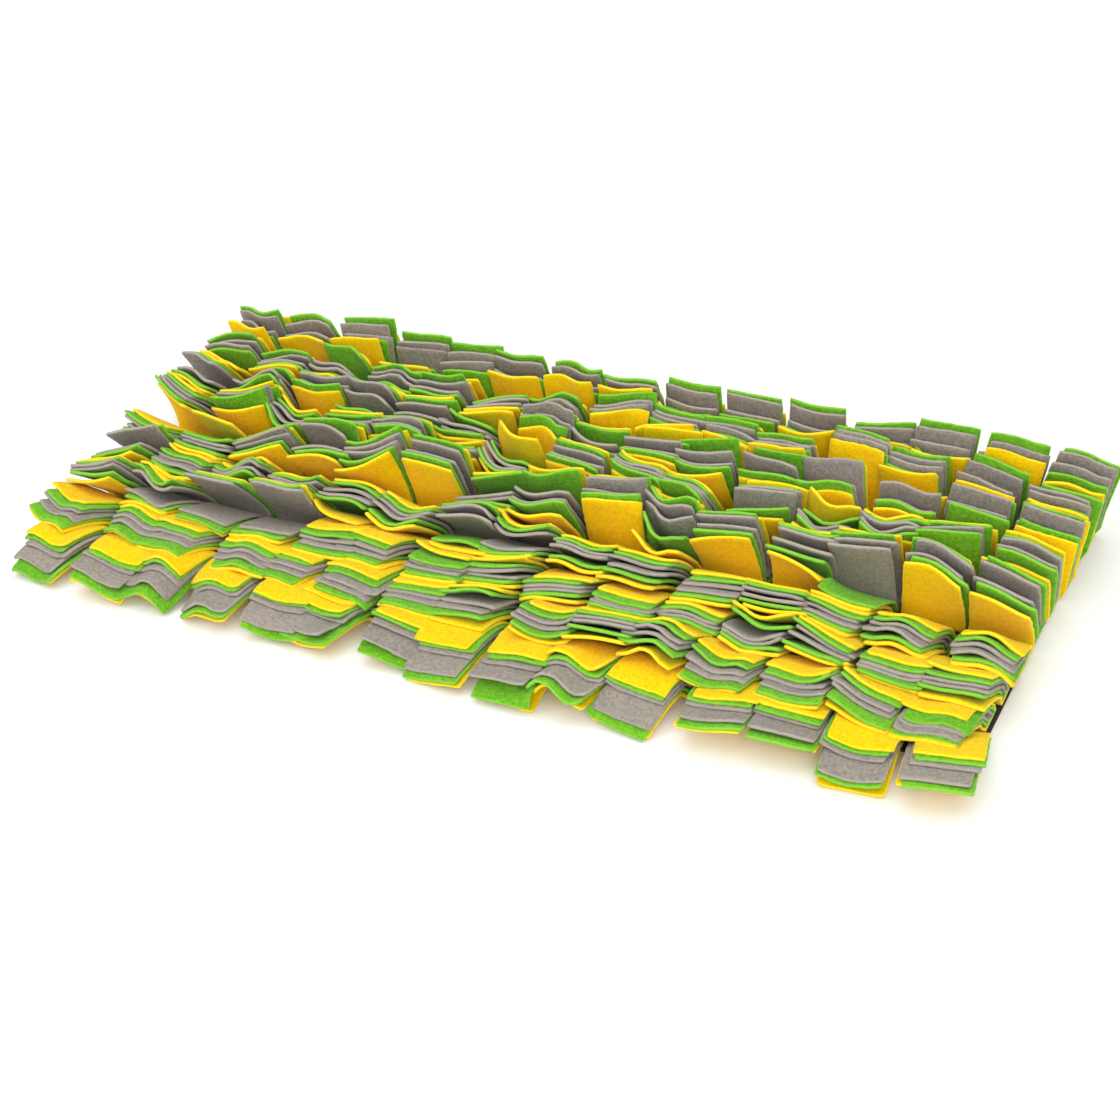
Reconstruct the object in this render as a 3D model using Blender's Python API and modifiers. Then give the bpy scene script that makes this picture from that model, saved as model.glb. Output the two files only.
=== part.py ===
"""Snuffle mat: rows of fleece tabs sewn on a flat base cloth.

The base is one flat sheet. Each row is three fleece strips, yellow, green and grey, nested in
each other as U-shapes and sewn to the base along their middles. Both edges of every strip are
cut into a comb of tabs. The front rows flop forward over the mat's front edge on to the ground,
and the rows behind them lean less and less, until the last one stands up and tips back.

Metres, +X along the rows to the right, +Y to the back, +Z up. The origin is the middle of the
underside of the base.
"""
import bpy
import bmesh
from math import asin, cos, radians, sin
from random import Random

# ------------------------------------------------------------------ driving dimensions
ROW_COUNT = 9
ROW_PITCH = 0.0355          # from seam to seam
TAB_COUNT = 15              # tabs along each edge of a strip
TAB_WIDTH = 0.050
STRIP_WIDTH = 0.130         # cut width of a flat strip, tip to tip

FLEECE = 0.0025             # thickness of one fleece strip
LAYER_PITCH = 0.0031        # from one layer of a bundle to the next
POCKET = 0.0065             # clear width between the two grey leaves at the seam
BASE_THICKNESS = 0.002
BASE_BACKSET = 0.002        # the base ends this far inside the first and last bend
GAP = 0.0003                # between pieces that touch

NOTCH = 0.0040              # how far the tips of two neighbouring tabs stand apart
BUNDLE_GAP = 0.0009         # least clear gap between one leaf bundle and the next
FLAT_RISER = 0.0012         # least rise before the tabs begin, in the row that lies flat
STANDING_RISER = 0.008      # and in every other row
FAN_OUT = 0.018             # how far the end tabs lean out past the ends of the mat
FAN_POWER = 3.0             # how quickly that lean dies away towards the middle
JITTER_DEG = 3.6            # unevenness of the lean, from tab to tab
TWIST_DEG = 2.8             # unevenness of the lean, from one side of a tab to the other
LEAST_LOOSE = 0.2           # share of that unevenness left in a tab that lies flat
SWAY = 0.0016               # unevenness of the tips along the row
SEED = 11
SEED_STEP = 1000            # keeps the seeds of the sway apart from SEED

# Lean of each row's two leaves, in degrees up from lying forward: 0 lies on its face to the
# front, 90 stands upright, more than 90 tips to the back. Left and right are the mat's ends.
LEAN_COLUMNS = ("front_left", "back_left", "front_right", "back_right")
LEAN = (
    (-2, 8, -2, 9),
    (17, 24, 19, 29),
    (31, 37, 39, 48),
    (42, 48, 57, 65),
    (53, 59, 71, 77),
    (63, 69, 79, 85),
    (71, 79, 84, 91),
    (79, 88, 86, 95),
    (86, 98, 89, 104),
)

# Layers of a bundle, from the outside of the U to the inside.
LAYER_NAMES = ("yellow", "green", "grey")
COLOURS = {
    "yellow": (0.90, 0.58, 0.02),
    "green": (0.13, 0.46, 0.06),
    "grey": (0.33, 0.29, 0.27),
    "base": (0.018, 0.018, 0.020),
}
FLEECE_ROUGHNESS = 0.95

# ------------------------------------------------------------------ worked-out sizes
LENGTH = TAB_COUNT * TAB_WIDTH
BUNDLE_PITCH = 2 * LAYER_PITCH + FLEECE + BUNDLE_GAP
UPRIGHT_COSINE = 0.05       # a leaf whose lean has a smaller cosine lifts nothing behind it
WIDEST_SINE = 0.9           # of the angle between a leaf and the next one laid on it
MIDDLE_LAYER = 1
FRONT, BACK = 0, 1


def band_height(layer):
    """Height of the middle of a strip where it lies along the seam."""
    return BASE_THICKNESS + GAP + FLEECE / 2 + layer * LAYER_PITCH


def band_reach(layer):
    """Distance from the seam to the bend where a strip turns up."""
    return POCKET / 2 + FLEECE / 2 + (2 - layer) * LAYER_PITCH


def seam_y(row):
    return (row - (ROW_COUNT - 1) / 2) * ROW_PITCH


def bend_y(row, side, layer):
    reach = band_reach(layer)
    return seam_y(row) + (reach if side == BACK else -reach)


def side_length(layer):
    """Length of fleece from a strip's bend to its cut tip."""
    return STRIP_WIDTH / 2 - band_reach(layer)


def edge_x(boundary):
    return boundary * TAB_WIDTH - LENGTH / 2


def sideways(row, column):
    """Sideways lean of a tab's tip: a little uneven, and the end columns spread outwards."""
    place = (column + 0.5) / TAB_COUNT * 2 - 1
    spread = FAN_OUT * abs(place) ** FAN_POWER * (1 if place > 0 else -1)
    return spread + Random(SEED * SEED_STEP + row * TAB_COUNT + column).uniform(-SWAY, SWAY)


def lean_table(row, side, column):
    """Lean wanted for one tab, read between the mat's left and right ends."""
    values = dict(zip(LEAN_COLUMNS, LEAN[row]))
    left, right = (values["front_left"], values["front_right"])
    if side == BACK:
        left, right = (values["back_left"], values["back_right"])
    place = column / (TAB_COUNT - 1)
    ease = place * place * (3 - 2 * place)
    return left + (right - left) * ease


def lay_bundles():
    """Fold height and lean of every bundle, each one laid on the bundle in front of it.

    A bundle is the three layers of one side of one row. Returns two tables: the height of the
    fold over the band for each bundle, and the lean in radians of both edges of each tab.
    """
    rng = Random(SEED)
    folds, leans = {}, {}
    before = None
    for row in range(ROW_COUNT):
        jitter = [rng.uniform(-JITTER_DEG, JITTER_DEG) for _ in range(TAB_COUNT)]
        twist = [rng.uniform(-TWIST_DEG, TWIST_DEG) for _ in range(TAB_COUNT)]
        for side in (FRONT, BACK):
            bundle = (row, side)
            fold = least_fold(row, side)
            if before is not None:
                step = bend_y(*bundle, MIDDLE_LAYER) - bend_y(*before, MIDDLE_LAYER)
                for angle in (a for pair in leans[before] for a in pair if cos(a) > UPRIGHT_COSINE):
                    rise = (BUNDLE_PITCH - step * sin(angle)) / cos(angle)
                    fold = max(fold, folds[before] + rise)
            folds[bundle] = fold
            leans[bundle] = []
            for column in range(TAB_COUNT):
                pair = []
                for sign in (1, -1):
                    if before is None:
                        angle = lowest_lean(fold) + radians(abs(twist[column]) / 2)
                    else:
                        wanted = lean_table(row, side, column)
                        looseness = LEAST_LOOSE + (1 - LEAST_LOOSE) * sin(radians(wanted))
                        wanted += looseness * (jitter[column] + sign * twist[column])
                        ahead = leans[before][column][0 if sign == 1 else 1]
                        spread = step * sin(ahead) + (fold - folds[before]) * cos(ahead)
                        reach = side_length(MIDDLE_LAYER) - fold
                        turn = max(-WIDEST_SINE, min(WIDEST_SINE, (BUNDLE_PITCH - spread) / reach))
                        angle = max(radians(wanted), ahead + asin(turn))
                    pair.append(angle)
                leans[bundle].append(tuple(pair))
            before = bundle
    return folds, leans


def least_fold(row, side):
    """Least height of a bundle's fold over its band, so that its grey layer still rises."""
    wanted = [radians(lean_table(row, side, column)) for column in (0, TAB_COUNT - 1)]
    mitre = [cos(angle) / (1 + sin(angle)) for angle in wanted]
    riser = FLAT_RISER if row == 0 else STANDING_RISER
    if side == FRONT:
        return riser + LAYER_PITCH * max(0, 1 - min(mitre))
    return riser + LAYER_PITCH * (1 + max(mitre))


def lowest_lean(fold):
    """Lean of the front leaf: its tip comes down to the ground in front of the base."""
    drop = band_height(0) + fold - FLEECE / 2 - GAP
    return -asin(drop / (side_length(0) - fold))


def bundle_line(row, side, fold, offset, angle):
    """Where a layer at an offset from the middle layer folds, for one lean.

    The offset is towards the back. The fold's mitre keeps the layers of a bundle parallel.
    """
    y = bend_y(row, side, MIDDLE_LAYER) + offset
    z = band_height(MIDDLE_LAYER) + fold + offset * cos(angle) / (1 + sin(angle))
    return y, z


def tab_tip(row, side, fold, offset, angle, layer):
    """Tip of a tab: straight out from the fold along its lean."""
    y, z = bundle_line(row, side, fold, offset, angle)
    reach = side_length(layer) - (z - band_height(layer))
    return y - reach * cos(angle), z + reach * sin(angle)


def strip_mesh(row, layer, folds, leans):
    """The middle surface of one strip: a band, two risers and two combs of tabs."""
    mesh = bmesh.new()
    corners = {}
    for side in (FRONT, BACK):
        y, z = bend_y(row, side, layer), band_height(layer)
        corners[side] = [mesh.verts.new((edge_x(b), y, z)) for b in (0, TAB_COUNT)]
    mesh.faces.new(corners[FRONT] + corners[BACK][::-1])

    for side in (FRONT, BACK):
        fold, lean = folds[(row, side)], leans[(row, side)]
        offset = bend_y(row, side, layer) - bend_y(row, side, MIDDLE_LAYER)
        line = []
        for boundary in range(TAB_COUNT + 1):
            near = [lean[c] for c in (boundary - 1, boundary) if 0 <= c < TAB_COUNT]
            angle = sum(a for pair in near for a in pair) / (2 * len(near))
            line.append(mesh.verts.new((edge_x(boundary), *bundle_line(row, side, fold, offset, angle))))
        faces = [corners[side] + line[::-1]]
        for column in range(TAB_COUNT):
            tips = []
            for boundary, inset, angle in ((column, NOTCH / 2, lean[column][0]),
                                           (column + 1, -NOTCH / 2, lean[column][1])):
                x = edge_x(boundary) + inset + sideways(row, column)
                tips.append(mesh.verts.new((x, *tab_tip(row, side, fold, offset, angle, layer))))
            faces.append([line[column], line[column + 1], tips[1], tips[0]])
        for face in faces:
            mesh.faces.new(face if side == BACK else face[::-1])
    mesh.normal_update()
    return mesh


def add_object(name, mesh, material, collection):
    data = bpy.data.meshes.new(name)
    mesh.to_mesh(data)
    mesh.free()
    data.materials.append(material)
    item = bpy.data.objects.new(name, data)
    collection.objects.link(item)
    return item


def fleece_strip(row, layer, folds, leans, material, collection):
    name = "row%d_%s" % (row + 1, LAYER_NAMES[layer])
    item = add_object(name, strip_mesh(row, layer, folds, leans), material, collection)
    solid = item.modifiers.new("thickness", "SOLIDIFY")
    solid.thickness = FLEECE
    solid.offset = 0
    solid.use_even_offset = True
    solid.use_quality_normals = True


def base_cloth(material, collection):
    depth = (ROW_COUNT - 1) * ROW_PITCH + 2 * (band_reach(0) + FLEECE / 2 - BASE_BACKSET)
    mesh = bmesh.new()
    bmesh.ops.create_cube(mesh, size=1)
    bmesh.ops.scale(mesh, vec=(LENGTH, depth, BASE_THICKNESS), verts=mesh.verts)
    bmesh.ops.translate(mesh, vec=(0, 0, BASE_THICKNESS / 2), verts=mesh.verts)
    add_object("base_cloth", mesh, material, collection)


def cloth_material(name):
    material = bpy.data.materials.new(name + "_cloth")
    material.use_nodes = True
    shader = material.node_tree.nodes["Principled BSDF"]
    shader.inputs["Base Color"].default_value = (*COLOURS[name], 1)
    shader.inputs["Roughness"].default_value = FLEECE_ROUGHNESS
    shader.inputs["Metallic"].default_value = 0
    return material


def main():
    for item in list(bpy.data.objects):
        bpy.data.objects.remove(item)
    collection = bpy.data.collections.new("snuffle_mat")
    bpy.context.scene.collection.children.link(collection)
    materials = {name: cloth_material(name) for name in COLOURS}
    base_cloth(materials["base"], collection)
    folds, leans = lay_bundles()
    for row in range(ROW_COUNT):
        for layer, name in enumerate(LAYER_NAMES):
            fleece_strip(row, layer, folds, leans, materials[name], collection)


main()
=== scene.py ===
"""Looks of the snuffle mat: fleece tabs laid on each other, on a dark base cloth.

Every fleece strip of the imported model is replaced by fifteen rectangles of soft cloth, side by
side. Each is folded up along the seam at its middle, so it makes one tab in front and one behind.
The cuts go right through, because the seam's band is hidden. The tabs are small grids of points.
They start upright, lean over to the angles in the tables below, and are pushed apart by their
order in the column: each tab lies on the one in front of it.
"""
import math
import bpy
import numpy as np
from mathutils import Euler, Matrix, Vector


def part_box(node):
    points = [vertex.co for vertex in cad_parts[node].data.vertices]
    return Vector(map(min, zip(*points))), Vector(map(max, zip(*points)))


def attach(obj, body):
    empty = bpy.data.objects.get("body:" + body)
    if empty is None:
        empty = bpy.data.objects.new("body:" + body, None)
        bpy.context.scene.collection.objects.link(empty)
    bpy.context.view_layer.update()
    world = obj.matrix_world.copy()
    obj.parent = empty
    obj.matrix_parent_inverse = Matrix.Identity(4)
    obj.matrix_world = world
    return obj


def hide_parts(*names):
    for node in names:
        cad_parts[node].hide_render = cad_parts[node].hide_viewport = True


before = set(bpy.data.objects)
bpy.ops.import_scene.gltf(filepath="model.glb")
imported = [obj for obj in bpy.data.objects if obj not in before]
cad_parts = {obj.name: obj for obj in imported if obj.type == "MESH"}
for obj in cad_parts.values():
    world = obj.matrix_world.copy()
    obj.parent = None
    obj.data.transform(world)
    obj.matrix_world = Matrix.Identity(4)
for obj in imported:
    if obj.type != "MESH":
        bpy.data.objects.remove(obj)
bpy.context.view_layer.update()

# ------------------------------------------------------------------ sizes, from the frame
BASE_LOW, BASE_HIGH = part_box("base_cloth")
ROWS = sum(1 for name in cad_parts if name.endswith("_grey"))
COLUMNS = 15
LENGTH = BASE_HIGH.x - BASE_LOW.x
TAB_WIDTH = LENGTH / COLUMNS
ROW_PITCH = 0.0355
STRIP_WIDTHS = (0.140, 0.136, 0.124)   # yellow, green, grey: their tips end up nearly level
FLEECE = 0.0025
LAYER_PITCH = 0.0031
POCKET = 0.0065
SEAM_ERROR = 0.0028         # how far a seam strays from the middle of its strip
CUT_ERROR = 0.0012          # unevenness of the tabs' lengths
BUNDLE_ERROR = 0.0022       # and of all six tabs of a row together
SLIT = 0.0016               # clear width of the cut between two tabs
TAPER = 0.05                # share of a tab's width lost at its tip
CUT_WANDER = 0.00016        # how far the cut edges stray from straight
CONTACT = 0.00290           # distance between the middles of two tabs that touch
LEAST_GAP = 0.0003          # between cloth and what it lies on
NAPPED = 0.0028             # thickness of the brushed cloth, nap and all

LAYERS = ("yellow", "green", "grey")
ORDER = ((-1, 0), (-1, 1), (-1, 2), (1, 2), (1, 1), (1, 0))   # side and layer, front to back
LEVELS = ROWS * len(ORDER)

ACROSS, ALONG = 6, 8        # points of a tab's grid
GRID_ACROSS = np.linspace(-0.5, 0.5, ACROSS)

rng = np.random.default_rng(20)


# ------------------------------------------------------------------ how the tabs lean
# Degrees up from lying forward, for the middle of each row, at five places from left to right.
PLACES = (0.0, 0.25, 0.5, 0.75, 1.0)
ROW_LEAN = (
    (2, 2, 2, 2, 2),
    (16, 16, 18, 14, 12),
    (34, 34, 34, 26, 20),
    (50, 50, 48, 42, 34),
    (56, 58, 62, 80, 76),
    (62, 66, 72, 86, 84),
    (72, 72, 76, 88, 88),
    (82, 80, 82, 90, 92),
    (92, 92, 94, 96, 98),
)
# How the six tabs of one row part from each other: degrees added to the row's lean, front to
# back, with how often each pattern comes up on the left and on the right of the mat.
PARTINGS = (
    ((-9, -8, -7, -8, -6, -5), 4, 4),
    ((6, 6, 7, 4, 5, 6), 5, 6),
    ((-14, -12, -11, 6, 8, 9), 2, 2),
    ((-32, -6, -4, -3, 0, 2), 3, 3),
    ((-28, -26, -4, -3, 0, 2), 1, 2),
    ((-16, -15, -14, -15, -12, 12), 4, 4),
    ((-16, -15, -14, -15, 10, 12), 3, 3),
)
# Bundles that stand out: what each shows, its row and column counted from 0, the lean of its six
# tabs, front to back, and the degrees that it turns from its left side to its right.
BUNDLES = (
    ("laid forward", 3, 9, (38, 39, 40, 41, 42, 44), 5),
    ("laid forward", 3, 10, (34, 35, 36, 37, 38, 40), 3),
    ("laid forward", 3, 11, (30, 31, 32, 33, 34, 36), 2),
    ("laid forward", 3, 12, (24, 26, 28, 30, 31, 32), -4),
    ("laid forward", 3, 13, (26, 27, 28, 30, 31, 32), -8),
    ("laid forward", 3, 14, (22, 24, 26, 28, 29, 30), -10),
    ("yellow face", 4, 10, (74, 75, 76, 77, 78, 80), 4),
    ("yellow face", 4, 11, (76, 77, 78, 79, 80, 81), -3),
    ("grey face", 4, 12, (24, 26, 80, 81, 82, 84), 3),
    ("yellow face", 4, 13, (70, 71, 72, 75, 76, 77), -6),
    ("yellow face", 4, 14, (62, 64, 66, 70, 72, 74), -12),
    ("curled stack", 2, 14, (22, 23, 24, 25, 26, 27), -4),
    ("tilted stack", 1, 13, (22, 23, 24, 25, 26, 27), -26),
    ("tilted stack", 2, 12, (30, 31, 32, 33, 34, 36), -22),
    ("yellow on the ground", 1, 9, (34, 34, 35, 36, 37, 38), 2),
    ("yellow on the ground", 1, 10, (33, 34, 35, 36, 37, 38), 0),
    ("grey faces", 2, 1, (12, 14, 16, 52, 54, 56), 6),
    ("grey faces", 2, 2, (12, 13, 15, 54, 56, 58), 0),
    ("grey faces", 2, 3, (13, 14, 16, 52, 54, 56), 5),
    ("standing", 5, 7, (84, 85, 58, 88, 90, 92), -14),
    ("yellow face", 5, 14, (78, 80, 82, 84, 85, 86), -6),
    ("yellow face", 6, 14, (84, 85, 86, 87, 88, 89), -4),
    ("yellow face", 7, 12, (94, 95, 96, 96, 97, 98), 2),
    ("laid forward", 6, 12, (74, 75, 76, 77, 78, 79), 2),
    ("yellow face", 6, 2, (84, 85, 86, 87, 88, 89), 4),
    ("yellow face", 4, 5, (74, 75, 76, 77, 78, 79), -4),
    ("laid forward", 3, 5, (38, 39, 40, 41, 42, 43), -4),
    ("yellow peak", 8, 10, (80, 92, 93, 94, 96, 98), 0),
    ("grey peak", 8, 12, (60, 62, 92, 94, 96, 98), 8),
)

# Unevenness, as standard deviations in degrees unless said otherwise.
SWAY_DEG = 8.0              # lean of a row's six tabs together
TWIST_LEFT, TWIST_RIGHT = 16.0, 9.0     # their turn from left side to right side
BEND_DEG = 10.0             # their curl together
TAB_LEAN_DEG, TAB_TWIST_DEG, TAB_CURL_DEG = 2.0, 3.0, 4.0     # each tab by itself
CURL_LEFT, CURL_RIGHT = 16.0, 4.0       # mean curl at the mat's ends
LEAST_FREE = 0.6            # share of the unevenness left in a row that lies flat
FREE_LEAN = 60.0            # lean from which a row has all of it
WAVE_LEFT, WAVE_RIGHT = 0.0046, 0.0024  # size of the waves at the mat's ends, in metres
WAVE_COUNT = (0.5, 1.1)     # waves over a tab's width, least and most
WAVE_SHARE = (0.7, 1.2)     # a tab's share of its bundle's wave, least and most
WAVE_SLIP = 0.04            # how far a tab's wave slips, in waves
FAN_LEFT = -30.0            # degrees that the last column on the left leans outwards
FAN_RIGHT = (3.0, 24.0)     # and on the right, in these rows
FAN_ROWS = (2, 6)
FAN_POWER = 3
YAW_DEG, YAW_DROP = 8.0, 0.4            # sideways lean of a bundle in row 0, less in each row
TAB_YAW_DEG = 2.5


def row_levels(row):
    return slice(row * len(ORDER), (row + 1) * len(ORDER))


def lean_field():
    """Lean of every tab, in degrees, as levels x columns x points across."""
    lean = np.zeros((LEVELS, COLUMNS, ACROSS))
    curl = np.zeros((LEVELS, COLUMNS, 1))
    places = (np.arange(COLUMNS) + 0.5) / COLUMNS
    for row in range(ROWS):
        middle = np.interp(places, PLACES, ROW_LEAN[row])
        sway = rng.normal(0, SWAY_DEG, COLUMNS)
        twist = rng.normal(0, TWIST_LEFT + (TWIST_RIGHT - TWIST_LEFT) * places)
        bend = rng.normal(0, BEND_DEG, COLUMNS)
        for column in range(COLUMNS):
            odds = np.array([p[1] + (p[2] - p[1]) * places[column] for p in PARTINGS], float)
            parting = PARTINGS[rng.choice(len(PARTINGS), p=odds / odds.sum())][0]
            for number, offset in enumerate(parting):
                level = row * len(ORDER) + number
                free = LEAST_FREE + (1 - LEAST_FREE) * min(1, middle[column] / FREE_LEAN)
                own = offset * free + sway[column] * free + rng.normal(0, TAB_LEAN_DEG)
                turn = (twist[column] + rng.normal(0, TAB_TWIST_DEG)) * free
                lean[level, column] = middle[column] + own + GRID_ACROSS * turn
                mean_curl = CURL_LEFT + (CURL_RIGHT - CURL_LEFT) * places[column]
                curl[level, column] = mean_curl + bend[column] + rng.normal(0, TAB_CURL_DEG)
    for _, row, column, angles, turn in BUNDLES:
        lean[row_levels(row), column] = np.array(angles)[:, None] + GRID_ACROSS * turn
    return lean, curl


def wave_field():
    """Waves across the tabs, shared by the layers of a bundle: size, number and phase."""
    size = np.zeros((LEVELS, COLUMNS, 1))
    count = np.zeros((LEVELS, COLUMNS, 1))
    phase = np.zeros((LEVELS, COLUMNS, 1))
    for row in range(ROWS):
        for column in range(COLUMNS):
            own_size = abs(rng.normal(0, WAVE_LEFT + (WAVE_RIGHT - WAVE_LEFT) * column / COLUMNS))
            own_count = rng.uniform(*WAVE_COUNT)
            own_phase = rng.uniform(0, 1)
            for number in range(len(ORDER)):
                level = row * len(ORDER) + number
                size[level, column] = own_size * rng.uniform(*WAVE_SHARE)
                count[level, column] = own_count
                phase[level, column] = own_phase + rng.normal(0, WAVE_SLIP)
    return size, count, phase


def yaw_field():
    """Degrees that each tab leans sideways: the ends of the mat spread outwards."""
    places = (np.arange(COLUMNS) + 0.5) / COLUMNS * 2 - 1
    yaw = np.zeros((LEVELS, COLUMNS, 1))
    for row in range(ROWS):
        right = np.interp(row, FAN_ROWS, FAN_RIGHT)
        spread = np.where(places < 0, FAN_LEFT, right) * np.abs(places) ** FAN_POWER
        together = rng.normal(0, YAW_DEG - YAW_DROP * row, COLUMNS)
        own = rng.normal(0, TAB_YAW_DEG, (len(ORDER), COLUMNS))
        yaw[row_levels(row), :, 0] = spread + together + own
    return yaw


# ------------------------------------------------------------------ places and lengths
def band_height(layer):
    return BASE_HIGH.z + LEAST_GAP + FLEECE / 2 + layer * LAYER_PITCH


def band_reach(layer):
    return POCKET / 2 + FLEECE / 2 + (2 - layer) * LAYER_PITCH


def seam_y(row):
    return (row - (ROWS - 1) / 2) * ROW_PITCH


LEVEL_ROW = np.repeat(np.arange(ROWS), len(ORDER))
LEVEL_SIDE = np.tile([side for side, _ in ORDER], ROWS)
LEVEL_LAYER = np.tile([layer for _, layer in ORDER], ROWS)
ROOT_Y = np.array([seam_y(row) + side * band_reach(layer)
                   for row, side, layer in zip(LEVEL_ROW, LEVEL_SIDE, LEVEL_LAYER)])
ROOT_Z = np.array([band_height(layer) for layer in LEVEL_LAYER])


def tab_lengths():
    """Length of every tab: no seam is quite in the middle, and no two cuts are quite alike."""
    off_middle = rng.normal(0, SEAM_ERROR, (ROWS, len(LAYERS)))
    together = rng.normal(0, BUNDLE_ERROR, (ROWS, COLUMNS))
    lengths = np.zeros((LEVELS, COLUMNS))
    for level, (row, side, layer) in enumerate(zip(LEVEL_ROW, LEVEL_SIDE, LEVEL_LAYER)):
        half = STRIP_WIDTHS[layer] / 2 - band_reach(layer) - side * off_middle[row, layer]
        lengths[level] = half + together[row] + rng.normal(0, CUT_ERROR, COLUMNS)
    return lengths


REACH = tab_lengths()
STEP_ALONG = REACH / (ALONG - 1)
STEP_ACROSS = (TAB_WIDTH - SLIT) / (ACROSS - 1)
ROOT_X = (np.arange(COLUMNS)[:, None] + 0.5) * TAB_WIDTH + BASE_LOW.x \
    + (np.arange(ACROSS) - (ACROSS - 1) / 2)[None, :] * STEP_ACROSS
RISE = 0.009                # length over which a tab turns from upright to its lean
CURL_POWER = 1.5            # how late along the tab the curl sets in
WAVE_POWER = 1.3            # and the waves


def wanted_shape(lean, curl, wave, yaw, share):
    """Points of every tab when it has gone this share of the way from upright to its lean."""
    size, count, phase = wave
    across = np.linspace(0, 1, ACROSS)
    points = np.zeros((LEVELS, COLUMNS, ALONG, ACROSS, 3))
    points[:, :, 0, :, 0] = ROOT_X[None]
    points[:, :, 0, :, 1] = ROOT_Y[:, None, None]
    points[:, :, 0, :, 2] = ROOT_Z[:, None, None]
    side = np.radians(yaw * share)
    for i in range(1, ALONG):
        at = (i - 0.5) / (ALONG - 1)
        run = (at * REACH)[:, :, None]
        tip = lean - curl * at ** CURL_POWER
        angle = np.radians(90 + (tip - 90) * (1 - np.exp(-run / RISE)) * share)
        step = STEP_ALONG[:, :, None]
        flat = np.cos(side)
        narrowing = (ROOT_X - ROOT_X.mean(axis=1, keepdims=True)) * TAPER / (ALONG - 1)
        points[:, :, i, :, 0] = points[:, :, i - 1, :, 0] + step * np.sin(side) - narrowing[None]
        points[:, :, i, :, 1] = points[:, :, i - 1, :, 1] - step * np.cos(angle) * flat
        points[:, :, i, :, 2] = points[:, :, i - 1, :, 2] + step * np.sin(angle) * flat
    for i in range(1, ALONG):
        at = i / (ALONG - 1)
        swell = size * at ** WAVE_POWER * np.sin(2 * np.pi * (count * across + phase)) * share
        angle = np.radians(90 + (lean - 90) * share)
        points[:, :, i, :, 1] += swell * np.sin(angle)
        points[:, :, i, :, 2] += swell * np.cos(angle)
    return points


# ------------------------------------------------------------------ laying the tabs on each other
def tangents(points):
    """Unit directions along and across each tab, and its back side's normal."""
    along = np.gradient(points, axis=2)
    across = np.gradient(points, axis=3)
    along /= np.linalg.norm(along, axis=-1, keepdims=True)
    across /= np.linalg.norm(across, axis=-1, keepdims=True)
    normal = np.cross(along, across)
    normal /= np.linalg.norm(normal, axis=-1, keepdims=True)
    return along, across, normal


EDGE_SLACK = 0.0015         # how far past its edge a tab still pushes
FARTHEST = 0.011            # points further apart than this don't meet
FRONT_SHARE = 0.35          # share of a push taken by the tab in front
HARDEST_PUSH = 0.003        # in one step
PUSH_GAIN = 1.6
STIFFNESS = 0.8             # share of a wrong length put right in one step
SPREADING = 0.35            # share of a push that goes over to the points around it
STEPS, QUICK_STEPS = (70, 40), (30, 5)      # steps of leaning over, and of settling after that
KEPT_MOVING = 0.93          # share of the pushes kept from step to step while the tabs lean over
KEPT_SETTLING = 0.99        # and after that


def chosen(field, part):
    """The part of a field given by slices of levels, columns and points across, tab by tab."""
    levels, columns, across = part
    picked = field[levels, columns][:, :, :, across]
    return picked.reshape(*picked.shape[:2], -1, *picked.shape[4:])


def press(points, frames, moves, counts, ahead, behind, gap):
    """Pushes the tabs of one selection apart from those in front of them.

    ahead and behind are slices of levels, columns and points across.
    """
    along, across, normal = frames
    total = points[..., 0].size
    front = chosen(points, ahead)
    back = chosen(points, behind)
    centre = front.mean(axis=2, keepdims=True)
    front_0, back_0 = front - centre, back - centre
    square = (back_0 ** 2).sum(-1)[..., :, None] + (front_0 ** 2).sum(-1)[..., None, :] \
        - 2 * np.matmul(back_0, np.swapaxes(front_0, -1, -2))
    index = np.arange(total).reshape(points.shape[:4])
    for forward in (True, False):
        near = square.argmin(-1) if forward else square.argmin(-2)
        held, moving = (front, back) if forward else (back, front)
        held_part, moving_part = (ahead, behind) if forward else (behind, ahead)
        nearest = near[..., None]
        reach = moving - np.take_along_axis(held, nearest, axis=2)
        n, tv, tu = (np.take_along_axis(chosen(field, held_part), nearest, axis=2)
                     for field in (normal, along, across))
        height, over_v, over_u = ((reach * way).sum(-1) for way in (n, tv, tu))
        columns = held_part[2]
        width = columns.stop - columns.start
        spot_v, spot_u = near // width, near % width + columns.start
        off = (spot_v == ALONG - 1) & (over_v > EDGE_SLACK)
        off |= (spot_v == 0) & (over_v < -EDGE_SLACK)
        off |= (spot_u == 0) & (over_u < -EDGE_SLACK)
        off |= (spot_u == ACROSS - 1) & (over_u > EDGE_SLACK)
        off |= (over_v ** 2 + over_u ** 2) > FARTHEST ** 2
        lack = (gap - height) if forward else (gap + height)
        lack = np.where(off, 0, np.clip(lack, 0, HARDEST_PUSH))
        hit = lack > 0
        if not hit.any():
            continue
        push = (lack[..., None] * n * (1 if forward else -1))[hit]
        moving_share = (1 - FRONT_SHARE) if forward else FRONT_SHARE
        moved = chosen(index, moving_part)[hit]
        pressed = np.take_along_axis(chosen(index, held_part), near, axis=2)[hit]
        for spots, share, sign in ((moved, moving_share, 1), (pressed, 1 - moving_share, -1)):
            for axis in range(3):
                moves[:, axis] += np.bincount(spots, push[:, axis] * share * sign, total)
            counts += np.bincount(spots, minlength=total)


DEEP_SAME, DEEP_BESIDE = (1, 2, 3), (1, 2, 4)      # levels apart at which tabs can meet


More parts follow.
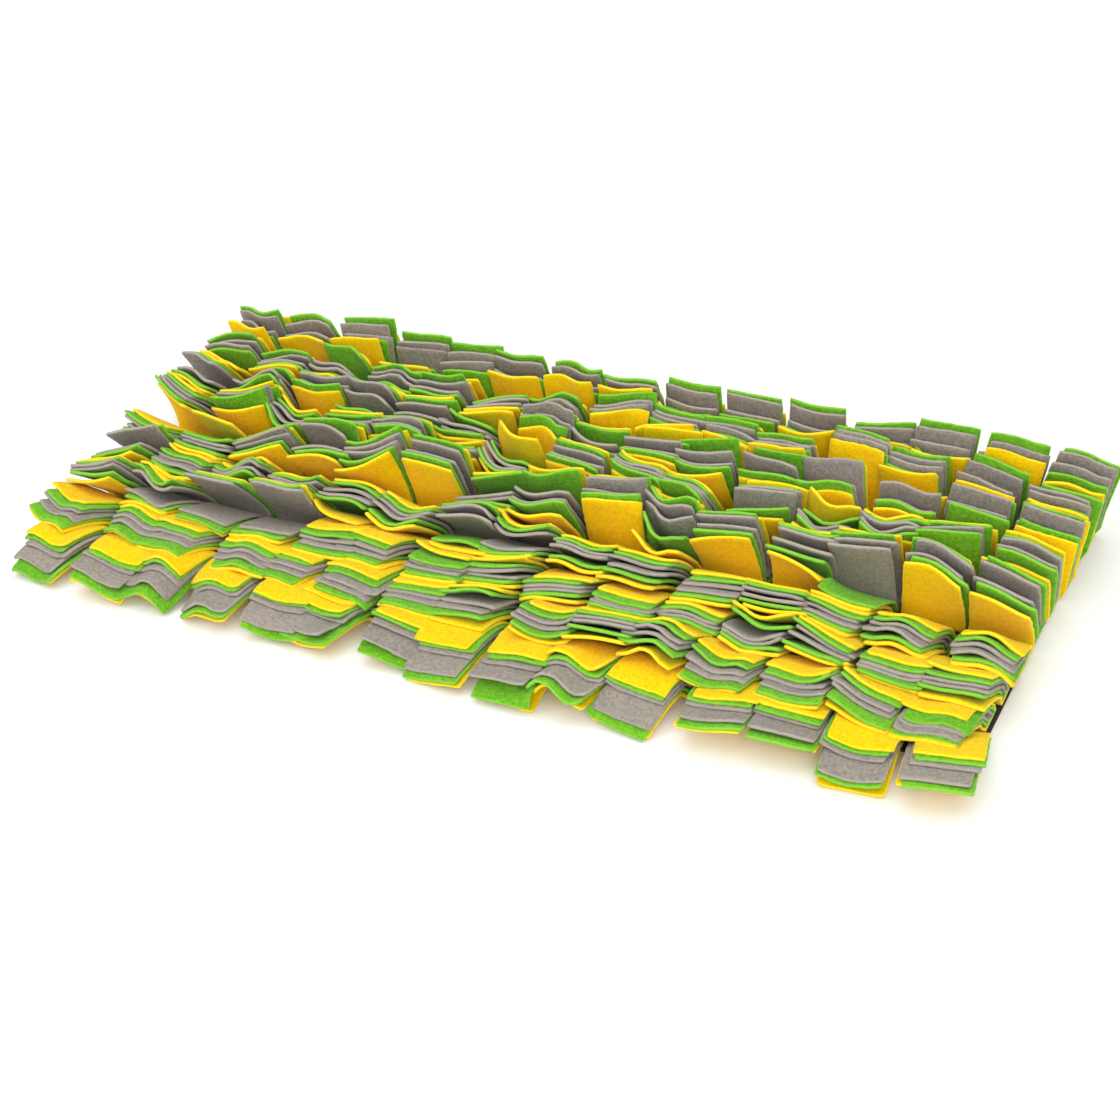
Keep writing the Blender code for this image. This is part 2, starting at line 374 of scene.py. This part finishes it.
def meetings():
    """Which tabs can meet: those behind in the same column, and in the columns beside it."""
    whole, half = slice(0, ACROSS), ACROSS // 2
    left, right = slice(0, half), slice(half, ACROSS)
    all_columns = slice(0, COLUMNS)
    but_last, but_first = slice(0, COLUMNS - 1), slice(1, COLUMNS)
    pairs = []
    for deep in DEEP_SAME:
        ahead, behind = slice(0, LEVELS - deep), slice(deep, LEVELS)
        pairs.append(((ahead, all_columns, whole), (behind, all_columns, whole)))
    for deep in DEEP_BESIDE:
        ahead, behind = slice(0, LEVELS - deep), slice(deep, LEVELS)
        pairs.append(((ahead, but_last, right), (behind, but_first, left)))
        pairs.append(((ahead, but_first, left), (behind, but_last, right)))
    return pairs


def keep_lengths(points):
    """Keeps the cloth's own lengths along, across and corner to corner."""
    corner = np.hypot(STEP_ALONG, STEP_ACROSS)[:, :, None]
    narrow = 1 - TAPER * np.arange(1, ALONG) / (ALONG - 1)
    wide = corner * 0 + STEP_ACROSS * narrow
    long = STEP_ALONG[:, :, None]
    for i in range(ALONG - 1):
        pull(points, (i, slice(None)), (i + 1, slice(None)), long, 0.0 if i == 0 else 0.5)
    for j in range(ACROSS - 1):
        pull(points, (slice(1, None), j), (slice(1, None), j + 1), wide, 0.5)
    for i in range(1, ALONG - 1):
        pull(points, (i, slice(0, -1)), (i + 1, slice(1, None)), corner, 0.5)
        pull(points, (i, slice(1, None)), (i + 1, slice(0, -1)), corner, 0.5)


def pull(points, here, there, length, share):
    a = points[(slice(None), slice(None)) + here]
    b = points[(slice(None), slice(None)) + there]
    gap = b - a
    now = np.linalg.norm(gap, axis=-1, keepdims=True)
    change = gap * (1 - length[..., None] / now) * STIFFNESS
    a += change * share
    b -= change * (1 - share)


def smooth(shift, amount):
    """Spreads each tab's shift from its wanted shape over its neighbours."""
    along = np.concatenate([shift[:, :, 1:], shift[:, :, -1:]], 2) \
        + np.concatenate([shift[:, :, :1], shift[:, :, :-1]], 2)
    across = np.concatenate([shift[:, :, :, 1:], shift[:, :, :, -1:]], 3) \
        + np.concatenate([shift[:, :, :, :1], shift[:, :, :, :-1]], 3)
    return shift * (1 - amount) + (along + across) * (amount / 4)


def above_ground(points):
    """Heights of the points, raised where needed to lie on the base cloth or the ground."""
    over_base = points[..., 1] > BASE_LOW.y - NAPPED
    over_base &= np.abs(points[..., 0]) < BASE_HIGH.x + NAPPED
    ground = np.where(over_base, BASE_HIGH.z, 0.0) + NAPPED / 2 + LEAST_GAP
    return np.maximum(points[..., 2], ground)


def lay_tabs(steps, settle):
    lean, curl = lean_field()
    wave, yaw = wave_field(), yaw_field()
    points = wanted_shape(lean, curl, wave, yaw, 0)
    last = wanted_shape(lean, curl, wave, yaw, 1 / steps)
    pairs = meetings()
    for step in range(steps + settle):
        wanted = wanted_shape(lean, curl, wave, yaw, min(1, (step + 1) / steps))
        keep = KEPT_MOVING if step < steps else KEPT_SETTLING
        points = wanted + smooth(points - last, SPREADING) * keep
        last = wanted
        frames = tangents(points)
        total = points[..., 0].size
        moves, counts = np.zeros((total, 3)), np.zeros(total)
        for ahead, behind in pairs:
            press(points, frames, moves, counts, ahead, behind, CONTACT)
        change = (moves / np.maximum(counts, 1)[:, None]).reshape(points.shape) * PUSH_GAIN
        points[:, :, 1:] += change[:, :, 1:]
        keep_lengths(points)
        points[:, :, 1:, :, 2] = above_ground(points[:, :, 1:])
    return points


# ------------------------------------------------------------------ from points to fleece
FINE_ACROSS, FINE_ALONG = 11, 14
CORNER = 0.65               # how far a sheet's corner reaches into its square corner
ROUND = 0.0009              # radius of a cut edge
RIM = 0.45                  # share of the half thickness where the rim's edge loops lie


def spline_rows(count, wanted):
    """Catmull-Rom weights that read a run of points at the wanted places, 0 to 1."""
    rows = np.zeros((len(wanted), count))
    for k, place in enumerate(wanted):
        x = place * (count - 1)
        i = min(int(x), count - 2)
        t = x - i
        weights = (-0.5 * t + t ** 2 - 0.5 * t ** 3, 1 - 2.5 * t ** 2 + 1.5 * t ** 3,
                   0.5 * t + 2 * t ** 2 - 1.5 * t ** 3, -0.5 * t ** 2 + 0.5 * t ** 3)
        for weight, at in zip(weights, (i - 1, i, i + 1, i + 2)):
            if at < 0:
                rows[k, 0] += 2 * weight
                rows[k, 1] -= weight
            elif at > count - 1:
                rows[k, count - 1] += 2 * weight
                rows[k, count - 2] -= weight
            else:
                rows[k, at] += weight
    return rows


def fleece_sheet(front, back):
    """Vertices, faces and rim marks of one rectangle of fleece, folded up at its two bends."""
    coarse = np.concatenate([front[::-1], back], axis=0)
    count = coarse.shape[0]
    inset_v, inset_u = ROUND / STRIP_WIDTHS[1], ROUND / TAB_WIDTH
    run = np.linspace(0, 1, FINE_ALONG)
    half = (ALONG - 1) / (count - 1)
    places = np.concatenate([run * half, 1 - run[::-1] * half])
    places[0], places[-1] = inset_v, 1 - inset_v
    spread = np.linspace(0, 1, FINE_ACROSS)
    spread[0], spread[-1] = inset_u, 1 - inset_u
    v_all = np.concatenate([[0], places, [1]])
    u_all = np.concatenate([[0], spread, [1]])
    weights_v, weights_u = spline_rows(count, v_all), spline_rows(ACROSS, u_all)
    grid = np.einsum("va,uc,acd->vud", weights_v, weights_u, coarse)
    grid[..., 2] = above_ground(grid)
    dv, du = np.gradient(grid, v_all, axis=0), np.gradient(grid, u_all, axis=1)
    normal = np.cross(dv, du)
    normal /= np.linalg.norm(normal, axis=-1, keepdims=True)
    inner, inner_n = grid[1:-1, 1:-1], normal[1:-1, 1:-1]
    rows, cols = inner.shape[:2]
    half_t = NAPPED / 2
    top = (inner + inner_n * half_t).reshape(-1, 3)
    bottom = (inner - inner_n * half_t).reshape(-1, 3)

    ring = [(0, j) for j in range(cols)]
    ring += [(i, cols - 1) for i in range(1, rows)]
    ring += [(rows - 1, j) for j in range(cols - 2, -1, -1)]
    ring += [(i, 0) for i in range(rows - 2, 0, -1)]
    outer = []
    outer_n = []
    for i, j in ring:
        oi = 0 if i == 0 else rows + 1 if i == rows - 1 else i + 1
        oj = 0 if j == 0 else cols + 1 if j == cols - 1 else j + 1
        point = grid[oi, oj]
        if oi in (0, rows + 1) and oj in (0, cols + 1):
            point = point * CORNER + grid[i + 1, j + 1] * (1 - CORNER)
        outer.append(point)
        outer_n.append(normal[i + 1, j + 1])
    outer, outer_n = np.array(outer), np.array(outer_n)
    outer += rng.normal(0, CUT_WANDER, outer.shape)
    loops = [outer + outer_n * half_t * RIM, outer - outer_n * half_t * RIM]
    verts = np.concatenate([top, bottom] + loops)
    size = rows * cols
    index = np.arange(size).reshape(rows, cols)
    corners = (index[:-1, :-1], index[1:, :-1], index[1:, 1:], index[:-1, 1:])
    quad = np.stack(corners, -1).reshape(-1, 4)
    faces = [quad, quad[:, ::-1] + size]
    ids = np.array([i * cols + j for i, j in ring])
    upper = 2 * size + np.arange(len(ids))
    rings = [ids, upper, upper + len(ids), ids + size]
    for a, b in zip(rings[:-1], rings[1:]):
        faces.append(np.stack([a, np.roll(a, -1), np.roll(b, -1), b], -1))
    # The rim loops are marked 1; the fleece material paints a highlight on them.
    rim = np.concatenate([np.zeros(2 * size), np.ones(2 * len(ids))])
    return verts, np.concatenate(faces), rim


def mesh_object(name, verts, faces, rim, shade, material):
    mesh = bpy.data.meshes.new(name)
    mesh.vertices.add(len(verts))
    mesh.vertices.foreach_set("co", verts.astype(np.float32).ravel())
    mesh.loops.add(faces.size)
    mesh.loops.foreach_set("vertex_index", faces.astype(np.int32).ravel())
    mesh.polygons.add(len(faces))
    mesh.polygons.foreach_set("loop_start", np.arange(0, faces.size, 4, dtype=np.int32))
    mesh.polygons.foreach_set("loop_total", np.full(len(faces), 4, dtype=np.int32))
    mesh.update(calc_edges=True)
    mesh.validate()
    for label, values in (("rim", rim), ("shade", shade)):
        data = mesh.attributes.new(label, "FLOAT", "POINT")
        data.data.foreach_set("value", values.astype(np.float32))
    mesh.shade_smooth()
    mesh.materials.append(material)
    item = bpy.data.objects.new(name, mesh)
    bpy.context.scene.collection.objects.link(item)
    return item


def build_strips(points, materials):
    for row in range(ROWS):
        for layer, colour in enumerate(LAYERS):
            front = row * len(ORDER) + layer
            back = row * len(ORDER) + len(ORDER) - 1 - layer
            parts, faces, rims, shades, start = [], [], [], [], 0
            for column in range(COLUMNS):
                v, f, r = fleece_sheet(points[front, column], points[back, column])
                parts.append(v)
                faces.append(f + start)
                rims.append(r)
                shades.append(np.full(len(v), rng.uniform(-1, 1)))
                start += len(v)
            name = "fleece_row%d_%s" % (row + 1, colour)
            node = "row%d_%s" % (row + 1, colour)
            item = mesh_object(name, np.concatenate(parts), np.concatenate(faces),
                               np.concatenate(rims), np.concatenate(shades), materials[colour])
            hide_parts(node)
            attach(item, "root")


# ------------------------------------------------------------------ materials
COLOURS = {
    "yellow": ((0.94, 0.65, 0.002), (0.84, 0.50, 0.001)),
    "green": ((0.190, 0.500, 0.026), (0.100, 0.340, 0.012)),
    "grey": ((0.345, 0.305, 0.262), (0.235, 0.205, 0.176)),
}


def fleece_material(colour):
    """Brushed fleece: soft sheen, a fine nap, slow mottling, and a painted highlight that makes
    the cut edges paler, standing in for the light their fuzz catches.
    """
    light, dark = COLOURS[colour]
    material = bpy.data.materials.new(colour + "_fleece")
    material.use_nodes = True
    nodes, links = material.node_tree.nodes, material.node_tree.links
    shader = nodes["Principled BSDF"]
    shader.inputs["Roughness"].default_value = 0.92
    shader.inputs["Sheen Weight"].default_value = 0.08
    shader.inputs["Sheen Roughness"].default_value = 0.5
    shader.inputs["Specular IOR Level"].default_value = 0.08
    place = nodes.new("ShaderNodeTexCoord")
    mottle = nodes.new("ShaderNodeTexNoise")
    mottle.inputs["Scale"].default_value = 330
    mottle.inputs["Detail"].default_value = 5
    mottle.inputs["Roughness"].default_value = 0.65
    nap = nodes.new("ShaderNodeTexNoise")
    nap.inputs["Scale"].default_value = 620
    nap.inputs["Detail"].default_value = 4
    nap.inputs["Roughness"].default_value = 0.7
    for noise in (mottle, nap):
        links.new(place.outputs["Object"], noise.inputs["Vector"])
    shade = nodes.new("ShaderNodeAttribute")
    shade.attribute_name = "shade"
    rim = nodes.new("ShaderNodeAttribute")
    rim.attribute_name = "rim"

    contrast = nodes.new("ShaderNodeMapRange")
    contrast.inputs["From Min"].default_value = 0.34
    contrast.inputs["From Max"].default_value = 0.62
    links.new(mottle.outputs["Fac"], contrast.inputs["Value"])
    amount = nodes.new("ShaderNodeMath")
    amount.operation = "MULTIPLY_ADD"
    amount.inputs[1].default_value = 0.18
    links.new(shade.outputs["Fac"], amount.inputs[0])
    links.new(contrast.outputs["Result"], amount.inputs[2])
    mix = nodes.new("ShaderNodeMix")
    mix.data_type = "RGBA"
    mix.inputs["A"].default_value = (*dark, 1)
    mix.inputs["B"].default_value = (*light, 1)
    links.new(amount.outputs["Value"], mix.inputs["Factor"])
    grain = nodes.new("ShaderNodeMix")
    grain.data_type = "RGBA"
    grain.blend_type = "OVERLAY"
    grain.inputs["Factor"].default_value = 0.5
    links.new(mix.outputs["Result"], grain.inputs["A"])
    links.new(nap.outputs["Fac"], grain.inputs["B"])
    # Painted highlight: the rim is mixed towards a brighter copy of the fleece colour, standing
    # in for light caught by the fuzz of the cut edges.
    painted_edge_highlight = nodes.new("ShaderNodeMix")
    painted_edge_highlight.data_type = "RGBA"
    painted_edge_highlight.inputs["B"].default_value = (*[min(1, c * 1.25 + 0.03) for c in light], 1)
    edge = nodes.new("ShaderNodeMath")
    edge.operation = "MULTIPLY"
    edge.inputs[1].default_value = 0.75
    links.new(rim.outputs["Fac"], edge.inputs[0])
    links.new(edge.outputs["Value"], painted_edge_highlight.inputs["Factor"])
    links.new(grain.outputs["Result"], painted_edge_highlight.inputs["A"])
    links.new(painted_edge_highlight.outputs["Result"], shader.inputs["Base Color"])

    bump = nodes.new("ShaderNodeBump")
    bump.inputs["Strength"].default_value = 0.9
    bump.inputs["Distance"].default_value = 0.0009
    links.new(nap.outputs["Fac"], bump.inputs["Height"])
    links.new(bump.outputs["Normal"], shader.inputs["Normal"])
    return material


def base_material():
    material = bpy.data.materials.new("base_cloth")
    material.use_nodes = True
    nodes, links = material.node_tree.nodes, material.node_tree.links
    shader = nodes["Principled BSDF"]
    shader.inputs["Roughness"].default_value = 0.9
    weave = nodes.new("ShaderNodeTexNoise")
    weave.inputs["Scale"].default_value = 900
    place = nodes.new("ShaderNodeTexCoord")
    links.new(place.outputs["Object"], weave.inputs["Vector"])
    mix = nodes.new("ShaderNodeMix")
    mix.data_type = "RGBA"
    mix.inputs["A"].default_value = (0.010, 0.010, 0.011, 1)
    mix.inputs["B"].default_value = (0.030, 0.029, 0.030, 1)
    links.new(weave.outputs["Fac"], mix.inputs["Factor"])
    links.new(mix.outputs["Result"], shader.inputs["Base Color"])
    return material


# ------------------------------------------------------------------ stage, light and camera
FLOOR_SIZE = 40.0
FLOOR_GREY = 0.92
SKY_STRENGTH = 0.56
# Square lamps aimed at the middle of the mat: name, place, side in metres, watts.
LAMPS = (
    ("key", (1.1, -1.7, 1.2), 1.0, 20),
    ("fill", (-1.4, -1.4, 1.3), 1.4, 12),
)
OVERHEAD_ANGLE, OVERHEAD_STRENGTH = 70, 1.5     # a soft light from straight above

CAMERA_PLACE = (0.660, -1.248, 0.930)
CAMERA_HEADING, CAMERA_PITCH, CAMERA_ROLL = 118.1, -33.9, -3.9      # degrees
CAMERA_LENS, CAMERA_SENSOR = 69.1, 36       # millimetres


def stage():
    bpy.ops.mesh.primitive_plane_add(size=FLOOR_SIZE, location=(0, 0, 0))
    floor = bpy.context.object
    floor.name = "floor"
    material = bpy.data.materials.new("floor")
    material.use_nodes = True
    shader = material.node_tree.nodes["Principled BSDF"]
    shader.inputs["Base Color"].default_value = (FLOOR_GREY, FLOOR_GREY, FLOOR_GREY, 1)
    shader.inputs["Roughness"].default_value = 0.9
    floor.data.materials.append(material)

    world = bpy.data.worlds.new("studio")
    bpy.context.scene.world = world
    world.use_nodes = True
    sky = world.node_tree.nodes["Background"]
    sky.inputs["Color"].default_value = (1, 1, 1, 1)
    sky.inputs["Strength"].default_value = SKY_STRENGTH
    for name, where, size, power in LAMPS:
        light = bpy.data.lights.new(name, "AREA")
        light.size = size
        light.energy = power
        lamp = bpy.data.objects.new(name, light)
        lamp.location = where
        aim = -Vector(where)
        lamp.rotation_euler = aim.to_track_quat("-Z", "Y").to_euler()
        bpy.context.scene.collection.objects.link(lamp)
    light = bpy.data.lights.new("overhead", "SUN")
    light.angle = math.radians(OVERHEAD_ANGLE)
    light.energy = OVERHEAD_STRENGTH
    lamp = bpy.data.objects.new("overhead", light)
    lamp.location = (0, 0, 3)
    bpy.context.scene.collection.objects.link(lamp)


def camera():
    data = bpy.data.cameras.new("camera")
    data.lens = CAMERA_LENS
    data.sensor_width = CAMERA_SENSOR
    item = bpy.data.objects.new("camera", data)
    item.location = CAMERA_PLACE
    heading, pitch = math.radians(CAMERA_HEADING), math.radians(CAMERA_PITCH)
    roll = math.radians(CAMERA_ROLL)
    level = math.cos(pitch)
    view = Vector((level * math.cos(heading), level * math.sin(heading), math.sin(pitch)))
    turn = view.to_track_quat("-Z", "Y") @ Euler((0, 0, roll)).to_quaternion()
    item.rotation_euler = turn.to_euler()
    bpy.context.scene.collection.objects.link(item)
    bpy.context.scene.camera = item
    bpy.context.scene.view_settings.view_transform = "Standard"


# ------------------------------------------------------------------ all together
def main():
    camera()
    stage()
    materials = {colour: fleece_material(colour) for colour in LAYERS}
    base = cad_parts["base_cloth"]
    base.data.materials.clear()
    base.data.materials.append(base_material())
    points = lay_tabs(*STEPS)
    build_strips(points, materials)


main()
